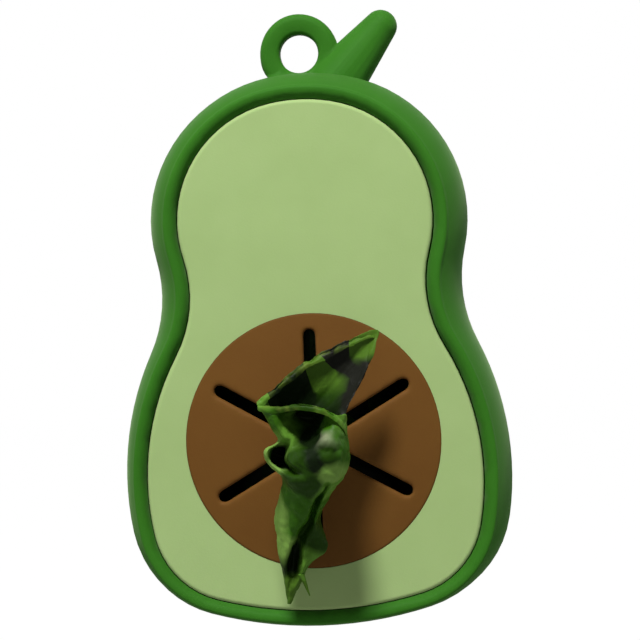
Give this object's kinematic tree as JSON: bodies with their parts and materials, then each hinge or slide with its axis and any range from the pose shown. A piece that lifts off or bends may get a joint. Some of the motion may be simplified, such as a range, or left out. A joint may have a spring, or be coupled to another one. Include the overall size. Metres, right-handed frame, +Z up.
{
  "type": "pet waste bag dispenser",
  "caption": "Avocado-shaped silicone dispenser for a roll of pet waste bags, with a hanging ring, a press-in front and a slotted seed that a bag is pulled through.",
  "frame": {"origin": "centre of the hanging hole, halfway along its bore, 0.5 mm left of the middle of the body", "axes": "+Z up along the height of the body, -Y out of the front, +X to the right as seen from the front"},
  "size_m": [0.0676, 0.0602, 0.1069],
  "materials": {
    "green_silicone": "matte moulded silicone",
    "pale_silicone": "matte moulded silicone",
    "brown_silicone": "matte moulded silicone",
    "card": "plain card",
    "film": "thin green camouflage film"
  },
  "bodies": {
    "shell": {"shell": "green_silicone"},
    "front": {"face_plate": "pale_silicone", "seed_diaphragm": "brown_silicone", "feed_film": "film"},
    "roll": {"roll_core": "card", "bag_roll": "film"},
    "bag": {"leading_bag": "film"}
  },
  "joints": [
    {"name": "front_pull", "type": "slide", "parent": "shell", "child": "front", "axis": [0, -1, 0], "range_m": [0, 0.045]},
    {"name": "roll_spin", "type": "hinge", "parent": "shell", "child": "roll", "pos_m": [0.0005, 0.0058, -0.0667], "axis": [0, 0, 1], "range_deg": [0, 230]},
    {"name": "bag_pull", "type": "slide", "parent": "front", "child": "bag", "axis": [0, -1, 0], "range_m": [0, 0.06]}
  ],
  "couplings": [
    {"joint": "bag_pull", "follows": "roll_spin", "m_per_rad": 0.0148}
  ]
}
